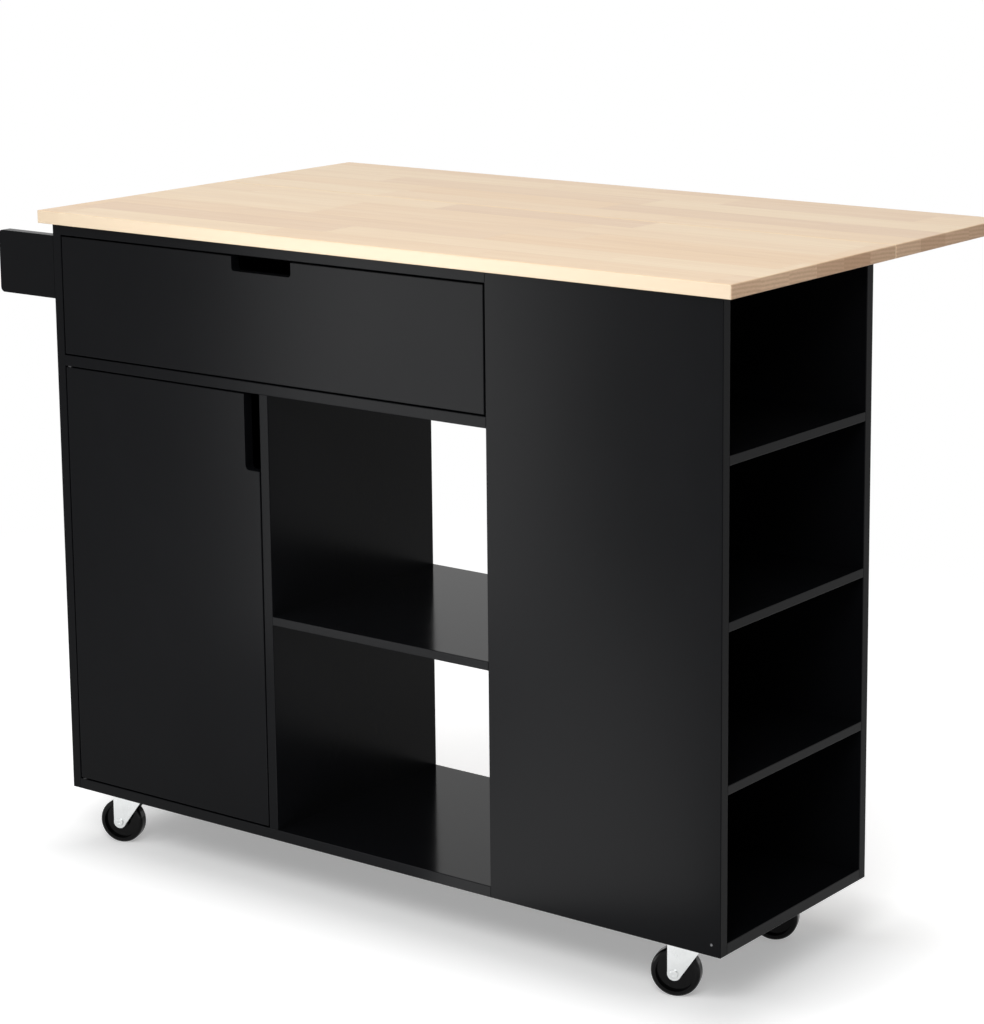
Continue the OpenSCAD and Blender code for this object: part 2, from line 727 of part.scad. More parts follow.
module drawer_front() on_cart() color(BLACK) difference() {
    eased_board([board_t + reveal, 0, deck_top + reveal],
        [board_t + reveal + drawer_front_w, board_t, rail_under - reveal], board_edge_r);
    translate([(board_t + end_x - grip_w) / 2, 0, rail_under - reveal - grip_h])
        cut_board(-over, board_t + 2 * over) grip_outline(grip_w, grip_h, grip_r);
    drawer_bottom_space(fit);
}

module drawer_side(x) on_cart() color(INNER_GREY) difference() {
    board([x, board_t, drawer_z], [x + drawer_side_t, board_t + drawer_side_l, drawer_z + drawer_side_h]);
    drawer_bottom_space(fit);
}

module drawer_side_left() drawer_side(drawer_left);
module drawer_side_right() drawer_side(drawer_right - drawer_side_t);

module drawer_back() on_cart() color(INNER_GREY) difference() {
    board([drawer_left + drawer_side_t, board_t + drawer_side_l - drawer_side_t, drawer_z],
        [drawer_right - drawer_side_t, board_t + drawer_side_l, drawer_z + drawer_side_h]);
    drawer_bottom_space(fit);
}

module drawer_bottom() on_cart() color(INNER_GREY) drawer_bottom_space(0);

// ---- drawer runners: drawn across the runner, first axis from the cabinet's side to the
// drawer's side, second axis up, then run along y ----

module on_runner(mirrored) translate([mirrored ? end_x : board_t, runner_y, runner_z])
    mirror([mirrored ? 1 : 0, 0, 0]) children();

module run_y(l) translate([0, l, 0]) rotate([90, 0, 0]) linear_extrude(l) children();

module cabinet_member() run_y(runner_l) difference() {
    translate([0, -runner_h / 2]) square([channel_d, runner_h]);
    translate([runner_t, -race_out]) square([channel_d - 2 * runner_t, 2 * race_out]);
    translate([runner_t, -race_out + runner_lip]) square([channel_d, 2 * (race_out - runner_lip)]);
}

module drawer_member() run_y(runner_l) difference() {
    translate([ball_from, -race_in]) square([runner_w - ball_from, 2 * race_in]);
    translate([0, -race_in + runner_t]) square([runner_w - runner_t, 2 * (race_in - runner_t)]);
}

// a strip bent into a channel that keeps the two rows of balls apart
module ball_cage() translate([0, cage_start, 0]) {
    run_y(cage_l) {
        translate([cage_x, -ball_z - cage_t / 2]) square([cage_t, 2 * ball_z + cage_t]);
        for (z = [-ball_z, ball_z])
            translate([cage_x, z - cage_t / 2]) square([ball_to - turn_gap - cage_x, cage_t]);
    }
    for (z = [-ball_z, ball_z], i = [0:runner_balls - 1])
        translate([ball_from + ball_d / 2, (i + 0.5) * ball_pitch, z]) sphere(d = ball_d);
}

module runner_cabinet_members() on_cart() color(STEEL)
    for (side = [false, true]) on_runner(side) cabinet_member();

module runner_drawer_members() on_cart() color(STEEL)
    for (side = [false, true]) on_runner(side) drawer_member();

module runner_ball_cages() on_cart() color(CHROME)
    for (side = [false, true]) on_runner(side) ball_cage();

// ---- door ----

module door_panel() on_cart() color(BLACK) difference() {
    eased_board([door_x, 0, door_z], [door_x + door_w, board_t, door_z + door_h], board_edge_r);
    translate([door_x + door_w - door_cut_w, 0, door_z + door_h - door_cut_h])
        cut_board(-over, board_t + 2 * over) {
            translate([door_cut_r, 0]) square([door_cut_w, door_cut_h + over]);
            translate([0, door_cut_r]) square([door_cut_w + over, door_cut_h]);
            translate([door_cut_r, door_cut_r]) circle(door_cut_r);
        }
    for (z = [door_z - over, door_z + door_h - pivot_in_door])
        translate([pivot_x, pivot_back, z]) cylinder(h = pivot_in_door + over, d = pivot_d + 2 * fit);
}

module door_pivot_pins() on_cart() color(STEEL) {
    l = pivot_in_bush + reveal + pivot_in_door - pin_end_gap;
    for (z = [door_z - reveal - pivot_in_bush, door_z + door_h + reveal + pivot_in_bush - l])
        translate([pivot_x, pivot_back, z]) cylinder(h = l, d = pivot_d);
}

// the holes for the bushes, in the bottom board and in the deck
module bush_bore() for (z = [floor_top - bush_depth, deck_under - over])
    translate([pivot_x, pivot_back, z]) cylinder(h = bush_depth + over, d = bush_d);

// a bush in the board, with a collar that the door's end runs on
module pivot_bush() difference() {
    union() {
        translate([0, 0, -bush_depth]) cylinder(h = bush_depth + tiny, d = bush_d);
        cylinder(h = bush_collar_t, d = bush_collar_d);
    }
    translate([0, 0, -pivot_in_bush - turn_gap])
        cylinder(h = pivot_in_bush + turn_gap + bush_collar_t + over, d = pivot_d + 2 * fit);
}

module door_pivot_bushes() on_cart() color(NYLON) translate([pivot_x, pivot_back, 0]) {
    translate([0, 0, floor_top]) pivot_bush();
    translate([0, 0, deck_under]) mirror([0, 0, 1]) pivot_bush();
}

module door_catch() on_cart() color(NYLON)
    board([divider_x - catch_w, board_t + strike_t + catch_gap, catch_z],
        [divider_x, board_t + strike_t + catch_gap + catch_d, catch_z + catch_h]);

module door_strike_plate() on_cart() color(STEEL)
    board([divider_x - catch_w, board_t, catch_z + strike_inset],
        [divider_x - reveal - strike_inset, board_t + strike_t, catch_z + catch_h - strike_inset]);

// ---- bottle rack ----

module rack_plate(y) on_cart() color(BLACK) difference() {
    translate([-rack_reach, 0, rack_z]) cut_board(y, rack_plate_t) {
        translate([rack_corner_r, 0]) square([rack_reach - rack_corner_r, rack_h]);
        translate([0, rack_corner_r]) square([rack_reach, rack_h - 2 * rack_corner_r]);
        for (z = [rack_corner_r, rack_h - rack_corner_r])
            translate([rack_corner_r, z]) circle(rack_corner_r);
    }
    rod_y([-rack_reach + rod_in, rack_plate_t - rod_socket, rack_z + rod_up],
        cabinet_d - rack_plate_t + rod_socket, rod_d + 2 * fit);
}

module rack_front_plate() rack_plate(0);
module rack_back_plate() rack_plate(cabinet_d - rack_plate_t);

module rack_floor() on_cart() color(BLACK)
    board([-rack_reach + rack_floor_inset, rack_plate_t, rack_z + rack_floor_up],
        [0, cabinet_d - rack_plate_t, rack_z + rack_floor_up + rack_floor_t]);

module rack_guard_rod() on_cart() color(CHROME)
    rod_y([-rack_reach + rod_in, rack_plate_t - rod_socket + pin_end_gap, rack_z + rod_up],
        cabinet_d - rack_plate_t + rod_socket - pin_end_gap, rod_d);

// ---- casters ----

module caster_plate(at) translate([at.x, at.y, 0]) difference() {
    union() {
        translate([-caster_plate_w / 2, -caster_plate_w / 2, plate_under])
            linear_extrude(caster_plate_t) rounded_rect(caster_plate_w, caster_plate_w, caster_plate_r);
        // the bearing keeps the fits' clearance from the crown that turns under it
        translate([0, 0, crown_top + fit]) cylinder(h = thrust_h - fit + tiny, d = thrust_d);
    }
    hole = caster_hole_pitch / 2;
    for (x = [-hole, hole], y = [-hole, hole])
        translate([x, y, plate_under - over]) cylinder(h = caster_plate_t + 2 * over, d = caster_hole_d);
    translate([0, 0, crown_top - over])
        cylinder(h = thrust_h + caster_plate_t + 2 * over, d = kingpin_d + 2 * fit);
}

module caster_plates() on_cart() color(STEEL) for (at = caster_at) caster_plate(at);

module caster_kingpins() on_cart() color(STEEL) for (at = caster_at)
    translate([at.x, at.y, crown_under - turn_gap]) {
        translate([0, 0, -tiny])
            cylinder(h = caster_h - pin_end_gap - crown_under + turn_gap, d = kingpin_d);
        translate([0, 0, -kingpin_head_t]) cylinder(h = kingpin_head_t, d = kingpin_head_d);
    }

// moves a piece from a swivel axis's foot on the floor to its place, turned as the casters are
module at_caster(at) on_cart() translate([at.x, at.y, 0]) rotate(caster_turn) children();

// one leg: an upright strip with a round end at the axle, and a front part that runs up to
// the crown and is bent in along the strip's front edge
module fork_leg() translate([-trail, leg_outer, axle_z]) {
    top = crown_top - fork_t / 2 - axle_z;
    run = trail + leg_reach;
    edge_a = atan2(run, top) - asin(leg_end_r / norm([run, top]));
    crease = leg_end_r * cos(edge_a);
    along = run * [cos(leg_bend), -sin(leg_bend)];
    inward = fork_t * [-sin(leg_bend), -cos(leg_bend)];
    intersection() {
        translate([0, 0, -leg_end_r - over]) linear_extrude(height = top + leg_end_r + over) polygon([
            [-leg_end_r - over, 0],
            [crease, 0],
            [crease, 0] + along,
            [crease, 0] + along + inward,
            [crease - fork_t * tan(leg_bend / 2), -fork_t],
            [-leg_end_r - over, -fork_t]
        ]);
        cut_board(-run, 2 * run) {
            circle(leg_end_r);
            polygon([
                [-leg_back, 0],
                [-leg_back, top + over],
                [run, top + over],
                [run, top],
                [leg_back * cos(edge_a), -leg_back * sin(edge_a)]
            ]);
        }
    }
}

// a round crown with a rim that guards the bearing, a bridge behind it and two legs that trail
module caster_fork(at) at_caster(at) color(STEEL) difference() {
    union() {
        translate([0, 0, crown_under]) cylinder(h = plate_under - turn_gap - crown_under, d = crown_d);
        board([-trail - leg_back, -leg_outer, crown_under], [0, leg_outer, crown_top]);
        for (flip = [0, 1]) mirror([0, flip, 0]) fork_leg();
    }
    translate([0, 0, crown_top]) cylinder(h = thrust_h, d = crown_d - 2 * fork_t);
    translate([0, 0, crown_under - over]) cylinder(h = fork_t + 2 * over, d = kingpin_d + 2 * fit);
    rod_y([-trail, -leg_outer - over, axle_z], leg_outer + over, axle_d + 2 * fit);
}

module caster_fork_front_left() caster_fork(caster_at[0]);
module caster_fork_front_right() caster_fork(caster_at[1]);
module caster_fork_back_left() caster_fork(caster_at[2]);
module caster_fork_back_right() caster_fork(caster_at[3]);

// a riveted axle with a rounded, dimpled head at each end
module caster_axle(at) at_caster(at) color(STEEL) translate([-trail, 0, axle_z]) {
    rod_y([0, -leg_outer - tiny, 0], leg_outer + tiny, axle_d);
    for (flip = [0, 1]) mirror([0, flip, 0]) translate([0, leg_outer, 0]) rotate([-90, 0, 0])
        rotate_extrude() difference() {
            union() {
                square([axle_head_d / 2 - axle_head_r, axle_head_t]);
                square([axle_head_d / 2, axle_head_t - axle_head_r]);
                translate([axle_head_d / 2 - axle_head_r, axle_head_t - axle_head_r]) circle(axle_head_r);
            }
            translate([-over, axle_head_t - axle_dimple_h]) square([over + axle_dimple_d / 2, axle_head_t]);
            translate([0, -axle_head_t]) square([axle_head_d, axle_head_t]);
        }
}

module caster_axle_front_left() caster_axle(caster_at[0]);
module caster_axle_front_right() caster_axle(caster_at[1]);
module caster_axle_back_left() caster_axle(caster_at[2]);
module caster_axle_back_right() caster_axle(caster_at[3]);

// a one-piece wheel: rounded tread, a dish in each side and a hub
module wheel(at) at_caster(at) color(WHEEL_BLACK)
    translate([-trail, wheel_w / 2, axle_z]) rotate([90, 0, 0])
    rotate_extrude($fn = 96) difference() {
        r = wheel_d / 2;
        s = wheel_shoulder_r;
        union() {
            square([r - s, wheel_w]);
            translate([0, s]) square([r, wheel_w - 2 * s]);
            for (y = [s, wheel_w - s]) translate([r - s, y]) circle(s);
        }
        translate([-over, -over]) square([axle_d / 2 + fit + over, wheel_w + 2 * over]);
        for (y = [wheel_dish - wheel_w, wheel_w - wheel_dish])
            translate([wheel_hub_d / 2, y]) square([r - wheel_rim_w - wheel_hub_d / 2, wheel_w]);
    }

module wheel_front_left() wheel(caster_at[0]);
module wheel_front_right() wheel(caster_at[1]);
module wheel_back_left() wheel(caster_at[2]);
module wheel_back_right() wheel(caster_at[3]);

main_worktop();
drop_leaf();
leaf_hinge_fixed_flaps();
leaf_hinge_moving_flaps();
leaf_hinge_pins();
stay_tracks();
stay_brackets();
stay_pivot_pins();
stay_strut_left();
stay_strut_right();
left_side_panel();
bottom_board();
divider_panel();
drawer_deck();
top_front_rail();
drawer_back_panel();
cupboard_back_panel();
bay_shelf();
adjustable_shelf();
shelf_pins();
end_inner_panel();
end_front_panel();
end_back_panel();
end_floor_board();
end_shelf_upper();
end_shelf_middle();
end_shelf_lower();
drawer_front();
drawer_side_left();
drawer_side_right();
drawer_back();
drawer_bottom();
runner_cabinet_members();
runner_drawer_members();
runner_ball_cages();
door_panel();
door_pivot_pins();
door_pivot_bushes();
door_catch();
door_strike_plate();
rack_front_plate();
rack_back_plate();
rack_floor();
rack_guard_rod();
caster_plates();
caster_kingpins();
caster_fork_front_left();
caster_fork_front_right();
caster_fork_back_left();
caster_fork_back_right();
caster_axle_front_left();
caster_axle_front_right();
caster_axle_back_left();
caster_axle_back_right();
wheel_front_left();
wheel_front_right();
wheel_back_left();
wheel_back_right();
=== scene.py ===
"""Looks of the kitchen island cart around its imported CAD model. Metres, +Z up, the front faces -Y."""
import json
import math

import bmesh
import bpy
from mathutils import Matrix, Vector


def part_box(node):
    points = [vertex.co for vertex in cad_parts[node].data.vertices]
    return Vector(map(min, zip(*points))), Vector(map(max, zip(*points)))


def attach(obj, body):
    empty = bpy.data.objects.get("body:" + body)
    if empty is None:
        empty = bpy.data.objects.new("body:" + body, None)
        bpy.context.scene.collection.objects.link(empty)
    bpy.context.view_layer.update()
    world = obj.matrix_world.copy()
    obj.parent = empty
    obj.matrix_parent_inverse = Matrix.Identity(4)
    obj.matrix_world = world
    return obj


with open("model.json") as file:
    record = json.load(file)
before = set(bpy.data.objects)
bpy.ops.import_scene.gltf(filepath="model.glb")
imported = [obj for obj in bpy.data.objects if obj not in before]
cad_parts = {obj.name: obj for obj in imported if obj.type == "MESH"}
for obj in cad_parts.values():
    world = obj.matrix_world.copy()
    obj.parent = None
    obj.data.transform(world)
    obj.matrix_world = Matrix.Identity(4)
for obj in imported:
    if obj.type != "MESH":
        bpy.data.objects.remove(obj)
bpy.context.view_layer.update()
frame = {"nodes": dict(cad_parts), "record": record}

NODES = frame["nodes"]
RECORD = frame["record"]
MM = 0.001
WHITE = (1.0, 1.0, 1.0)

# ---------------------------------------------------------------- node helpers


class Graph:
    """The node tree of a material or of the world, written as nested calls."""

    def __init__(self, owner):
        self.owner = owner
        owner.use_nodes = True
        self.tree = owner.node_tree
        self.tree.nodes.clear()

    def put(self, socket, value):
        if isinstance(value, bpy.types.NodeSocket):
            self.tree.links.new(value, socket)
        elif value is not None:
            if socket.type == "RGBA" and len(value) == 3:
                value = (*value, 1.0)
            socket.default_value = value

    def node(self, kind, out=0, settings=None, **inputs):
        """Adds a node. Inputs are named by their socket, or i0, i1 by place."""
        n = self.tree.nodes.new(kind)
        for key, value in (settings or {}).items():
            setattr(n, key, value)
        for key, value in inputs.items():
            by_place = key[0] == "i" and key[1:].isdigit()
            self.put(n.inputs[int(key[1:]) if by_place else key.replace("_", " ")], value)
        return n.outputs[out]

    def math(self, operation, a, b=None):
        return self.node("ShaderNodeMath", settings={"operation": operation}, i0=a, i1=b)

    def vector_math(self, operation, a, b=None, out="Vector"):
        return self.node("ShaderNodeVectorMath", out, {"operation": operation}, i0=a, i1=b)

    def coords(self):
        """Places in the object's own frame, which ride with it."""
        return self.node("ShaderNodeTexCoord", "Object")

    def facing(self, axis):
        """How squarely the surface faces along x, y or z (axis 0, 1 or 2), from 0 to 1."""
        return self.math("ABSOLUTE", self.split(self.node("ShaderNodeTexCoord", "Normal"))[axis])

    def split(self, vector):
        n = self.tree.nodes.new("ShaderNodeSeparateXYZ")
        self.put(n.inputs[0], vector)
        return n.outputs[0], n.outputs[1], n.outputs[2]

    def join(self, x, y, z):
        return self.node("ShaderNodeCombineXYZ", i0=x, i1=y, i2=z)

    def noise(self, vector, scale, detail=2.0, roughness=0.5, distortion=0.0):
        return self.node("ShaderNodeTexNoise", Vector=vector, Scale=scale, Detail=detail,
                         Roughness=roughness, Distortion=distortion)

    def random(self, vector):
        """A random number from 0 to 1 for each whole-number cell."""
        return self.node("ShaderNodeTexWhiteNoise", "Value", {"noise_dimensions": "3D"}, Vector=vector)

    def ramp(self, factor, *stops):
        n = self.tree.nodes.new("ShaderNodeValToRGB")
        self.put(n.inputs[0], factor)
        points = n.color_ramp.elements
        for i, (at, colour) in enumerate(stops):
            point = points[i] if i < 2 else points.new(at)
            point.position = at
            point.color = (*colour, 1.0)
        return n.outputs[0]

    def remap(self, value, from_low, from_high, low, high):
        return self.node("ShaderNodeMapRange", Value=value, From_Min=from_low, From_Max=from_high,
                         To_Min=low, To_Max=high)

    def mix(self, factor, a, b):
        """Mixes two colours. The node has sockets of the same name for each kind of value."""
        return self.node("ShaderNodeMix", 2, {"data_type": "RGBA"}, i0=factor, i6=a, i7=b)

    def bump(self, height, distance, strength):
        return self.node("ShaderNodeBump", Strength=strength, Distance=distance, Height=height)

    def seen_by_eye(self):
        """1 for camera, glossy and transmission rays, 0 for the rays that carry light."""
        path = self.tree.nodes.new("ShaderNodeLightPath").outputs
        seen = self.math("MAXIMUM", path["Is Camera Ray"], path["Is Glossy Ray"])
        return self.math("MAXIMUM", seen, path["Is Transmission Ray"])

    def surface(self, shader, kind="ShaderNodeOutputMaterial"):
        output = self.tree.nodes.new(kind)
        self.tree.links.new(shader, output.inputs["Surface"])
        return self.owner

    def principled(self, **inputs):
        return self.surface(self.node("ShaderNodeBsdfPrincipled", **inputs))


def material_graph(name):
    return Graph(bpy.data.materials.new(name))


def srgb(r, g, b):
    """Linear colour of an sRGB colour with channels from 0 to 255."""
    def one(v):
        v /= 255
        return v / 12.92 if v <= 0.04045 else ((v + 0.055) / 1.055) ** 2.4
    return one(r), one(g), one(b)


# ---------------------------------------------------------------- butcher block

STAVE_W = 63 * MM             # width of a stave
STAVE_L = 380 * MM            # mean length of the pieces that a stave is joined from
STAVE_L_SPREAD = (0.8, 1.3)   # shortest and longest, against the mean
ROW_SHIFT = 2.7               # metres that a row of pieces is shifted along, at most
GRAIN_SHIFT = 31.0            # how far the grain is shifted from piece to piece, at most
FINGER_PITCH = 8 * MM         # width of one finger of a joint
FINGER_L = 9 * MM             # length of one finger
SIDE_LINE = 0.012             # half the line between two staves, in widths of a stave
END_LINE = 0.0015             # half the line of a finger joint, in lengths of a piece
LINE_SHADE = 0.22             # how far the lines darken the wood
RING_CENTRE = (80 * MM, -60 * MM)  # how far the growth rings' centres lie across and down, at most


def end_grain(g, at, z, across, row_random):
    """Sawn ends of the staves, with growth rings and pores."""
    in_stave = g.math("MULTIPLY", g.math("FRACT", across), STAVE_W)
    ring_y = g.math("ADD", in_stave, g.math("MULTIPLY", row_random, RING_CENTRE[0]))
    ring_z = g.math("ADD", z, g.math("MULTIPLY", row_random, RING_CENTRE[1]))
    rings = g.node("ShaderNodeTexWave", "Fac", {"wave_type": "RINGS", "rings_direction": "X"},
                   Vector=g.join(0.0, ring_y, ring_z), Scale=60.0, Distortion=2.0, Detail=2.0,
                   Detail_Scale=8.0)
    colour = g.mix(row_random, srgb(240, 205, 172), srgb(208, 168, 135))
    colour = g.mix(g.math("MULTIPLY", rings, 0.35), colour, srgb(186, 146, 114))
    pores = g.remap(g.noise(at, 900.0, detail=1.0), 0.5, 0.75, 0.0, 0.3)
    return g.mix(pores, colour, srgb(166, 128, 100))


def butcher_block():
    """Finger-jointed staves that run along the worktop, each piece with its own tone and grain.
    The last numbers of the random cells only keep the draws apart."""
    g = material_graph("butcher_block")
    at = g.coords()
    x, y, z = g.split(at)
    # staves lie side by side from the front edge on, and their joints are offset at random
    across = g.math("DIVIDE", g.math("SUBTRACT", y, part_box("main_worktop")[0].y), STAVE_W)
    row = g.math("FLOOR", across)
    row_random = g.random(g.join(row, 3.0, 7.0))
    fingers = g.math("MULTIPLY", g.math("PINGPONG", y, FINGER_PITCH / 2), FINGER_L / (FINGER_PITCH / 2))
    along = g.math("ADD", g.math("ADD", x, fingers), g.math("MULTIPLY", row_random, ROW_SHIFT))
    stretch = g.remap(g.random(g.join(row, 11.0, 1.0)), 0, 1, *STAVE_L_SPREAD)
    along = g.math("DIVIDE", along, g.math("MULTIPLY", stretch, STAVE_L))
    piece = g.math("FLOOR", along)
    # grain: slow bands and long streaks, different in each piece, and short pores
    shift = g.math("MULTIPLY", g.random(g.join(row, piece, 5.0)), GRAIN_SHIFT)

    def grain_at(lengthwise, crosswise, start=0.0):
        scaled = g.vector_math("MULTIPLY", at, (lengthwise, crosswise, crosswise))
        return g.vector_math("ADD", scaled, g.join(start, 0.0, 0.0))

    bands = g.noise(grain_at(1.6, 26.0, shift), 1.6, detail=3.0, roughness=0.55, distortion=0.7)
    streaks = g.noise(grain_at(5.0, 260.0, shift), 1.0, detail=4.0, roughness=0.6)
    pores = g.noise(grain_at(45.0, 900.0), 1.0, detail=1.0)
    face = g.ramp(bands, (0.30, srgb(230, 194, 153)), (0.52, srgb(243, 211, 170)),
                  (0.72, srgb(248, 222, 185)))
    face = g.mix(g.remap(streaks, 0.35, 0.75, 0.0, 0.55), face, srgb(222, 188, 153))
    face = g.mix(g.remap(pores, 0.62, 0.78, 0.0, 0.35), face, srgb(205, 166, 130))
    tones = g.ramp(g.random(g.join(row, piece, 0.0)), (0.0, srgb(229, 195, 162)),
                   (0.35, srgb(245, 213, 174)), (0.7, srgb(252, 227, 190)), (1.0, srgb(241, 203, 159)))
    face = g.mix(0.55, face, tones)
    # the long edges are the sides of single staves, more even, and paler: the paler colour is a painted
    # highlight
    face = g.mix(g.remap(g.facing(1), 0.5, 0.85, 0.0, 0.75), face, srgb(246, 232, 207))
    # thin dark lines where staves and fingers meet
    side_line = g.remap(g.math("PINGPONG", across, 0.5), 0.0, SIDE_LINE, 1.0, 0.0)
    end_line = g.remap(g.math("PINGPONG", along, 0.5), 0.0, END_LINE, 1.0, 0.0)
    lines = g.math("MAXIMUM", side_line, end_line)
    face = g.mix(g.math("MULTIPLY", lines, LINE_SHADE), face, srgb(190, 150, 116))
    end = g.remap(g.facing(0), 0.55, 0.8, 0.0, 1.0)
    colour = g.mix(end, face, end_grain(g, at, z, across, row_random))
    height = g.math("SUBTRACT", g.math("MULTIPLY", streaks, 0.35), g.math("MULTIPLY", lines, 0.9))
    rough = g.math("ADD", g.remap(streaks, 0.3, 0.8, 0.30, 0.42), g.math("MULTIPLY", end, 0.3))
    return g.principled(Base_Color=colour, Roughness=rough, Normal=g.bump(height, 0.12 * MM, 0.5),
                        Specular_IOR_Level=0.22, Coat_Weight=0.06, Coat_Roughness=0.22)


# ---------------------------------------------------------------- lacquer, metal and plastic


def shades(g, factor, colour, low, high):
    """A colour that varies between two multiples of itself."""
    return g.mix(factor, [c * low for c in colour], [c * high for c in colour])


def lacquer(name, colour, roughness=0.24, flat_roughness=None, level=0.05):
    """Sprayed satin lacquer on fibreboard: a fine orange peel, dust nibs and faint smears.
    flat_roughness is for boards whose faces are glossier than their edges, when they lie flat."""
    g = material_graph(name)
    at = g.coords()
    peel = g.noise(at, 260.0)
    smear = g.noise(g.vector_math("MULTIPLY", at, (3.0, 5.0, 2.2)), 1.0, detail=3.0, roughness=0.6)
    nibs = g.noise(at, 2600.0, detail=1.0)
    tone = shades(g, g.remap(smear, 0.3, 0.7, 0.0, 1.0), colour, 0.88, 1.12)
    rough = g.math("ADD", g.remap(smear, 0.3, 0.7, -0.02, 0.03), g.remap(nibs, 0.4, 0.8, 0.0, 0.03))
    if flat_roughness is not None:
        roughness = g.remap(g.facing(2), 0.7, 0.95, roughness, flat_roughness)
    height = g.math("ADD", peel, g.math("MULTIPLY", nibs, 0.15))
    return g.principled(Base_Color=tone, Roughness=g.math("ADD", rough, roughness),
                        Normal=g.bump(height, 0.03 * MM, 0.3), Specular_IOR_Level=level)


def metal(name, colour, roughness, brushed=(1.0, 1.0, 1.0), grain=500.0, mottle=0.08):
    """Plated steel with fine scratches along one direction and faint clouds in the plating."""
    g = material_graph(name)
    at = g.coords()
    scratch = g.noise(g.vector_math("MULTIPLY", at, brushed), grain, detail=3.0, roughness=0.6)
    cloud = g.remap(g.noise(at, 70.0), 0.3, 0.7, 0.0, 1.0)
    tone = shades(g, cloud, colour, 1.0 - mottle, 1.0)
    tone = g.mix(g.remap(scratch, 0.5, 0.85, 0.0, 0.12), tone, [c * 0.75 for c in colour])
    rough = g.remap(scratch, 0.3, 0.7, roughness - 0.04, roughness + 0.05)
    return g.principled(Base_Color=tone, Metallic=1.0, Roughness=rough,
                        Normal=g.bump(scratch, 0.02 * MM, 0.15))


def plastic(name, colour, roughness, level=0.5):
    """Moulded plastic: a nearly even colour with a faint texture of the mould and paler scuffs."""
    g = material_graph(name)
    at = g.coords()
    mould = g.noise(at, 1400.0)
    wear = g.noise(at, 60.0, detail=3.0, roughness=0.6)
    tone = g.mix(g.remap(wear, 0.4, 0.7, 0.0, 1.0), colour, [c * 1.25 + 0.0005 for c in colour])
    rough = g.remap(wear, 0.3, 0.7, roughness - 0.04, roughness + 0.06)
    return g.principled(Base_Color=tone, Roughness=rough, Normal=g.bump(mould, 0.02 * MM, 0.3),
                        Specular_IOR_Level=level)


def drawer_foil():
    """Grey foil over the drawer's inner boards, with a fine grain from front to back."""
    g = material_graph("drawer_board")
    at = g.vector_math("MULTIPLY", g.coords(), (300.0, 6.0, 300.0))
    grain = g.noise(at, 1.0, detail=4.0, roughness=0.6)
    tone = g.mix(g.remap(grain, 0.3, 0.7, 0.0, 1.0), srgb(58, 58, 61), srgb(74, 74, 77))
    return g.principled(Base_Color=tone, Roughness=0.55, Normal=g.bump(grain, 0.03 * MM, 0.4),
                        Specular_IOR_Level=0.3)


BLACK = (0.0033, 0.0035, 0.0042)
shelf_black = lacquer("black_shelf_board", BLACK, flat_roughness=0.10, level=0.065)
zinc = metal("zinc_steel", srgb(222, 224, 224), 0.30, brushed=(1.0, 1.0, 0.12))
# darker steel: the dull finish of the end unit's pins, and painted shade on the door's zinc pivot pins
# that keeps them from glinting in the gap above the door
dull_pin_and_painted_shade = metal("dull_pin_and_painted_shade", srgb(104, 104, 106), 0.38)

SLOTS = {
    "worktop_wood": butcher_block(),
    "black_lacquer": lacquer("black_lacquer", BLACK),
    "drawer_board": drawer_foil(),
    "zinc_steel": zinc,
    "chrome_rod": metal("chrome_rod", srgb(232, 234, 238), 0.08, brushed=(1.0, 0.05, 1.0), grain=900.0,
                        mottle=0.02),
    "black_nylon": plastic("nylon", srgb(30, 30, 32), 0.42),
    "wheel_black": plastic("wheel_black", (0.0016, 0.0016, 0.0018), 0.12, level=0.13),
}
SHELVES = ("bay_shelf", "bottom_board", "adjustable_shelf", "end_floor_board", "end_shelf_upper",
           "end_shelf_middle", "end_shelf_lower", "rack_floor")
# the shelves get their own glossier lacquer; the door's pivot pins get the darker pin steel as painted
# shade
FINISH_AND_PAINTED_SHADE_BY_NODE = {"door_pivot_pins": dull_pin_and_painted_shade, **dict.fromkeys(SHELVES, shelf_black)}
for part in RECORD["subparts"]:
    data = NODES[part["node"]].data
    data.materials.clear()
    data.materials.append(FINISH_AND_PAINTED_SHADE_BY_NODE.get(part["node"], SLOTS[part["material_slot"]]))

# ---------------------------------------------------------------- screws and pins

PLATE_T = 1.5 * MM            # steel of the leaf's hinges, brackets and tracks
CASTER_PLATE_T = 2.5 * MM     # steel of the casters' plates
SEAM_HALF = 0.3 * MM          # half the gap between the worktop and the leaf
HINGE_HOLE_X = 25.6 * MM      # along the hinge, from the middle of a flap
HINGE_HOLE_Y = 12.65 * MM     # from the middle of the seam
BRACKET_HOLE_X = 8 * MM       # across a bracket, from its middle
BRACKET_HOLE_Y = 25 * MM      # along a bracket, from its middle
TRACK_HOLE_IN = 8 * MM        # from the ends of a track
CASTER_HOLE = 23 * MM         # from the middle of a caster's plate, both ways
PIN_IN = 13 * MM              # from the right edge of the end unit's panels
PIN_UP = 15 * MM              # from their lower edge
RING_POINTS = 32
HEAD_TURN = 0.9               # radians from one screw's cross to the next one's
CROSS_ARM, CROSS_HALF_W = 0.52, 0.13   # a recess's arms: length and half the width, in radii
CROSS_TAPER = 0.62            # width of the recess's floor against its mouth
CROSS_FLOOR = 0.25            # height of its floor, against the head's
SHARP_ANGLE = math.radians(38)         # edges sharper than this aren't smoothed
SCREW_SIDE = ((0.98, 0.0), (1.0, 0.12), (1.0, 0.4), (0.95, 0.68), (0.85, 0.87), (0.7, 1.0))
PIN_SIDE = ((1.0, 0.0), (0.99, 0.4), (0.94, 0.8), (0.86, 1.0), (0.74, 0.95), (0.6, 0.8))
Y, Z = Vector((0, 1, 0)), Vector((0, 0, 1))


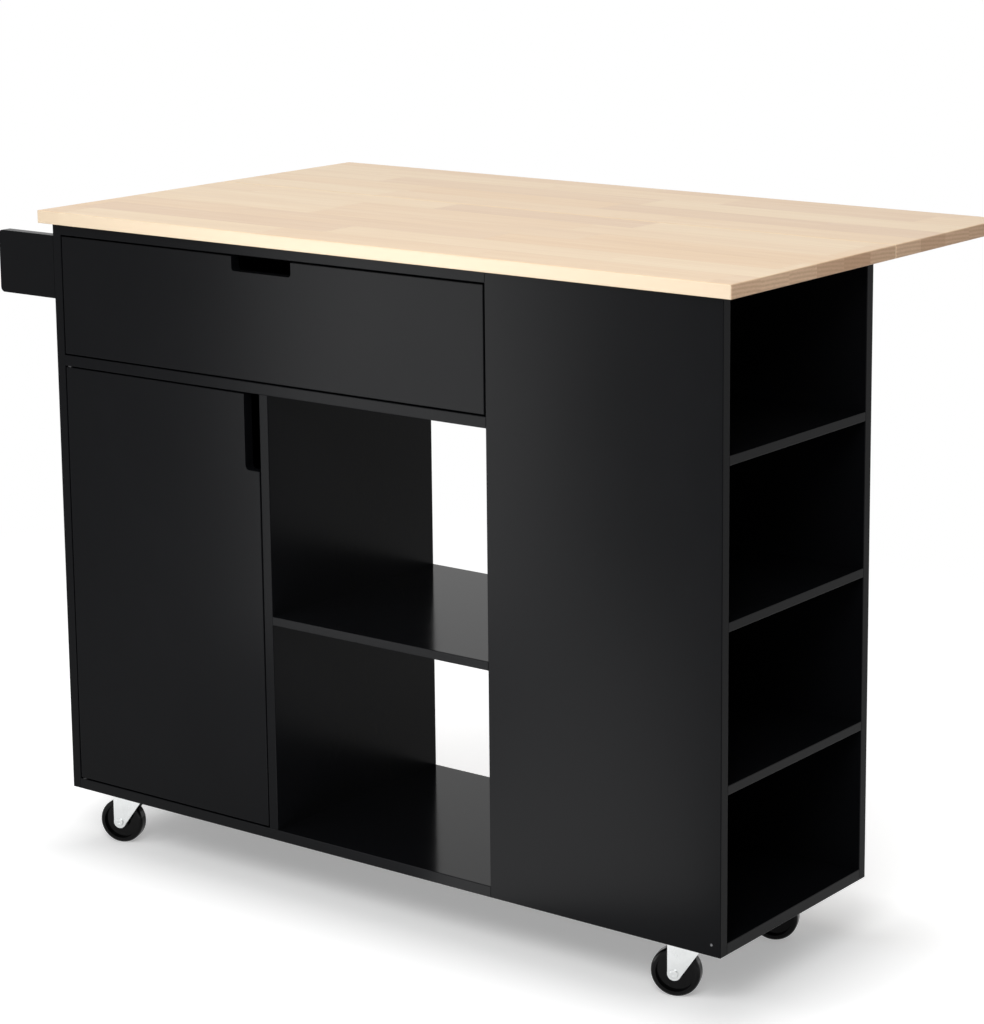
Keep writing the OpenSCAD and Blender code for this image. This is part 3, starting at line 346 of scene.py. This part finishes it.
def solids(node):
    """Lowest and highest corners of each separate solid of a CAD node."""
    bm = bmesh.new()
    bm.from_mesh(NODES[node].data)
    bmesh.ops.remove_doubles(bm, verts=bm.verts, dist=1e-6)
    boxes, seen = [], set()
    for start in bm.verts:
        if start in seen:
            continue
        seen.add(start)
        stack, points = [start], []
        while stack:
            vert = stack.pop()
            points.append(vert.co)
            for edge in vert.link_edges:
                other = edge.other_vert(vert)
                if other not in seen:
                    seen.add(other)
                    stack.append(other)
        boxes.append((Vector(min(p[i] for p in points) for i in range(3)),
                      Vector(max(p[i] for p in points) for i in range(3))))
    bm.free()
    return boxes


def bridge(bm, lower, upper):
    for k in range(len(lower)):
        n = (k + 1) % len(lower)
        bm.faces.new((lower[k], lower[n], upper[n], upper[k]))


def round_side(bm, radius, height, side):
    """Makes the side of a round head that stands on z = 0, and returns its lowest and highest ring
    of points. Each pair in side gives a ring's share of the radius and of the height."""
    angles = [2 * math.pi * k / RING_POINTS for k in range(RING_POINTS)]
    rings = [[bm.verts.new((radius * r * math.cos(a), radius * r * math.sin(a), height * h))
              for a in angles] for r, h in side]
    for lower, upper in zip(rings, rings[1:]):
        bridge(bm, lower, upper)
    return rings[0], rings[-1]


def loop_edges(bm, verts):
    return [bm.edges.get(pair) or bm.edges.new(pair) for pair in zip(verts, verts[1:] + verts[:1])]


def closed_mesh(bm, name, seat):
    """Closes a head under its seat, turns all faces outward and makes a mesh of it."""
    bm.faces.new(seat[::-1])
    bmesh.ops.recalc_face_normals(bm, faces=bm.faces)
    mesh = bpy.data.meshes.new(name)
    bm.to_mesh(mesh)
    bm.free()
    return mesh


def screw_head(radius, height):
    """A pan head with a cross recess."""
    bm = bmesh.new()
    seat, rim = round_side(bm, radius, height, SCREW_SIDE)
    a, w = CROSS_ARM * radius, CROSS_HALF_W * radius
    cross = [(a, -w), (a, w), (w, w), (w, a), (-w, a), (-w, w),
             (-a, w), (-a, -w), (-w, -w), (-w, -a), (w, -a), (w, -w)]
    top = [bm.verts.new((x, y, height)) for x, y in cross]
    bottom = [bm.verts.new((x * CROSS_TAPER, y * CROSS_TAPER, height * CROSS_FLOOR)) for x, y in cross]
    bmesh.ops.triangle_fill(bm, use_beauty=True, edges=loop_edges(bm, rim) + loop_edges(bm, top))
    bridge(bm, bottom, top)
    bm.faces.new(bottom)
    return closed_mesh(bm, "screw_head", seat)


def pin_head(radius, height):
    """The head of a driven pin, with a rounded rim and a slightly sunk middle."""
    bm = bmesh.new()
    seat, rim = round_side(bm, radius, height, PIN_SIDE)
    bm.faces.new(rim)
    return closed_mesh(bm, "pin_head", seat)


def set_out(name, shape, places, outward, body, material=zinc):
    """One piece made of copies of a small shape, each turned a little further than the last."""
    turn = outward.to_track_quat("Z", "Y").to_matrix().to_4x4()
    bm = bmesh.new()
    for i, place in enumerate(places):
        copy = shape.copy()
        copy.transform(Matrix.Translation(place) @ turn @ Matrix.Rotation(HEAD_TURN * i, 4, "Z"))
        bm.from_mesh(copy)
        bpy.data.meshes.remove(copy)
    mesh = bpy.data.meshes.new(name)
    bm.to_mesh(mesh)
    bm.free()
    mesh.shade_smooth()
    mesh.set_sharp_from_angle(angle=SHARP_ANGLE)
    mesh.materials.append(material)
    piece = bpy.data.objects.new(name, mesh)
    bpy.context.scene.collection.objects.link(piece)
    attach(piece, body)


def under_plates(node, xs, ys, plate_t):
    """Places on the lower face of each plate of a node, set out from the plate's middle."""
    places = []
    for low, high in solids(node):
        middle = (low + high) / 2
        places += [Vector((middle.x + x, middle.y + y, high.z - plate_t)) for x in xs for y in ys]
    return places


def flap_places(node, side):
    """Places of a hinge flap's screws: side is -1 on the worktop and 1 on the leaf."""
    hole_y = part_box("main_worktop")[1].y + SEAM_HALF + side * HINGE_HOLE_Y
    places = under_plates(node, (-HINGE_HOLE_X, 0.0, HINGE_HOLE_X), (0.0,), PLATE_T)
    return [Vector((place.x, hole_y, place.z)) for place in places]


def add_fasteners():
    small, large = screw_head(3.3 * MM, 1.5 * MM), screw_head(4.2 * MM, 2.2 * MM)
    for node, side, body in (("leaf_hinge_fixed_flaps", -1, "cabinet"),
                             ("leaf_hinge_moving_flaps", 1, "leaf")):
        set_out(node + "_screws", small, flap_places(node, side), -Z, body)
    # brackets under the leaf and tracks on the cabinet's back
    places = under_plates("stay_brackets", (-BRACKET_HOLE_X, BRACKET_HOLE_X),
                          (-BRACKET_HOLE_Y, BRACKET_HOLE_Y), PLATE_T)
    set_out("stay_bracket_screws", small, places, -Z, "leaf")
    places = [Vector((((low + high) / 2).x, low.y + PLATE_T, z)) for low, high in solids("stay_tracks")
              for z in (low.z + TRACK_HOLE_IN, high.z - TRACK_HOLE_IN)]
    set_out("stay_track_screws", small, places, Y, "cabinet")
    holes = (-CASTER_HOLE, CASTER_HOLE)
    places = under_plates("caster_plates", holes, holes, CASTER_PLATE_T)
    set_out("caster_screws", large, places, -Z, "cabinet")
    # pins that hold the end unit's floor
    pin = pin_head(1.8 * MM, 0.5 * MM)
    for node, outward, face in (("end_front_panel", -Y, 0), ("end_back_panel", Y, 1)):
        low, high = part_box(node)
        place = Vector((high.x - PIN_IN, (low, high)[face].y, low.z + PIN_UP))
        set_out(node + "_pin", pin, [place], outward, "cabinet", dull_pin_and_painted_shade)


add_fasteners()

# ---------------------------------------------------------------- camera

# position, heading, tilt and roll of the photograph's camera, fitted on the cart's own edges
CAMERA_AT = (2.450, -3.160, 1.463)
CAMERA_YAW, CAMERA_PITCH, CAMERA_ROLL = 36.69, 10.85, -0.39
CAMERA_LENS = 103.97
CAMERA_SHIFT = (-0.05, -0.14)
SENSOR_W = 36.0

camera = bpy.data.objects.new("camera", bpy.data.cameras.new("camera"))
bpy.context.scene.collection.objects.link(camera)
camera.data.sensor_width = SENSOR_W
camera.data.lens = CAMERA_LENS
camera.data.shift_x, camera.data.shift_y = CAMERA_SHIFT
camera.matrix_world = (
    Matrix.Translation(CAMERA_AT)
    @ Matrix.Rotation(math.radians(CAMERA_YAW), 4, "Z")
    @ Matrix.Rotation(math.radians(90 - CAMERA_PITCH), 4, "X")
    @ Matrix.Rotation(math.radians(CAMERA_ROLL), 4, "Z")
)
bpy.context.scene.camera = camera

# ---------------------------------------------------------------- floor, world and lamps

WORLD_LIGHT = 0.26            # strength of the white world for the rays that carry light
FLOOR_HALF = 12.0             # half a side of the floor
FLOOR_GREY = (0.82, 0.82, 0.82)
# the floor's glow is weaker near the cabinet's outline: a painted shadow that fades out over this reach
PAINTED_SHADE_REACH = 0.5              # distance from the cabinet's outline to the last stop of the glow
FLOOR_GLOW_AND_PAINTED_SHADE = ((0.0, 0.32), (0.1, 0.46), (0.3, 0.68), (1.0, 0.72))  # share of the reach, strength
PLAIN_WHITE = (0.5, 1.7)      # distances between which the floor turns plain white

bpy.context.scene.view_settings.view_transform = "Standard"


def make_world():
    g = Graph(bpy.data.worlds.new("studio"))
    strength = g.remap(g.seen_by_eye(), 0.0, 1.0, WORLD_LIGHT, 1.0)
    backdrop = g.node("ShaderNodeBackground", Color=WHITE, Strength=strength)
    bpy.context.scene.world = g.surface(backdrop, "ShaderNodeOutputWorld")


def distance_outside(g, low, high):
    """How far a place lies outside a rectangle on the floor."""
    centre = ((low.x + high.x) / 2, (low.y + high.y) / 2, 0.0)
    half = ((high.x - low.x) / 2, (high.y - low.y) / 2, 0.0)
    away = g.vector_math("ABSOLUTE", g.vector_math("SUBTRACT", g.coords(), centre))
    beyond = g.vector_math("MAXIMUM", g.vector_math("SUBTRACT", away, half), (0.0, 0.0, 0.0))
    return g.vector_math("LENGTH", beyond, out="Value")


def floor_material():
    """White studio floor. It keeps the cart's shadow near the cart, darkened further by a painted
    shadow where its glow is weaker near the cabinet's outline, and is plain white beyond.
    """
    g = material_graph("studio_floor")
    low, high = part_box("bottom_board")
    high.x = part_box("end_front_panel")[1].x
    distance = distance_outside(g, low, high)
    eye = g.seen_by_eye()
    # the glow grows with distance from the cabinet's outline, so the floor near the cart is darker: a
    # painted shadow
    glow_with_painted_shade = g.ramp(g.remap(distance, 0.0, PAINTED_SHADE_REACH, 0.0, 1.0),
                  *((share, (v, v, v)) for share, v in FLOOR_GLOW_AND_PAINTED_SHADE))
    glow = g.node("ShaderNodeEmission", Color=WHITE, Strength=g.math("MULTIPLY", eye, glow_with_painted_shade))
    near = g.node("ShaderNodeAddShader", i0=g.node("ShaderNodeBsdfDiffuse", Color=FLOOR_GREY), i1=glow)
    white = g.node("ShaderNodeEmission", Color=WHITE, Strength=1.0)
    far = g.math("MULTIPLY", g.remap(distance, *PLAIN_WHITE, 0.0, 1.0), eye)
    return g.surface(g.node("ShaderNodeMixShader", i0=far, i1=near, i2=white))


def make_floor():
    half = FLOOR_HALF
    mesh = bpy.data.meshes.new("floor")
    mesh.from_pydata([(-half, -half, 0), (half, -half, 0), (half, half, 0), (-half, half, 0)], [],
                     [(0, 1, 2, 3)])
    mesh.materials.append(floor_material())
    floor = bpy.data.objects.new("floor", mesh)
    bpy.context.scene.collection.objects.link(floor)


def softbox(name, at, aim, width, height, radiance):
    """A rectangular lamp that looks radiance times as bright as white paper, if it has no grid."""
    lamp = bpy.data.lights.new(name, "AREA")
    lamp.shape = "RECTANGLE"
    lamp.size, lamp.size_y = width, height
    lamp.energy = radiance * math.pi * width * height
    box = bpy.data.objects.new(name, lamp)
    box.location = at
    box.rotation_euler = (Vector(aim) - Vector(at)).to_track_quat("-Z", "Y").to_euler()
    box.visible_camera = False
    bpy.context.scene.collection.objects.link(box)
    return box


make_world()
make_floor()
front = softbox("front_softbox", (-0.80, -1.45, 0.50), (0.4, -0.25, 0.72), 0.50, 0.95, 0.97)
# a grid keeps it off the left side panel, which would mirror it in views from behind
front.data.spread = math.radians(66)
softbox("left_softbox", (-1.5, -3.0, 2.7), (0.0, 0.0, 0.6), 1.2, 1.0, 4.4)
panel = softbox("floor_panel", (-0.19, -1.10, 0.02), (-0.19, -1.10, 1.0), 0.38, 1.50, 3.5)
# it lies on the floor, face up, and runs away from the end unit's front
panel.rotation_euler = (math.pi, 0.0, math.radians(-35.8))
softbox("fill_softbox", (1.7, -3.0, 2.9), (0.0, 0.0, 0.6), 1.8, 1.4, 8.6)
softbox("top_softbox", (-0.3, -0.3, 3.3), (-0.1, 0.0, 0.9), 3.8, 3.0, 0.87)
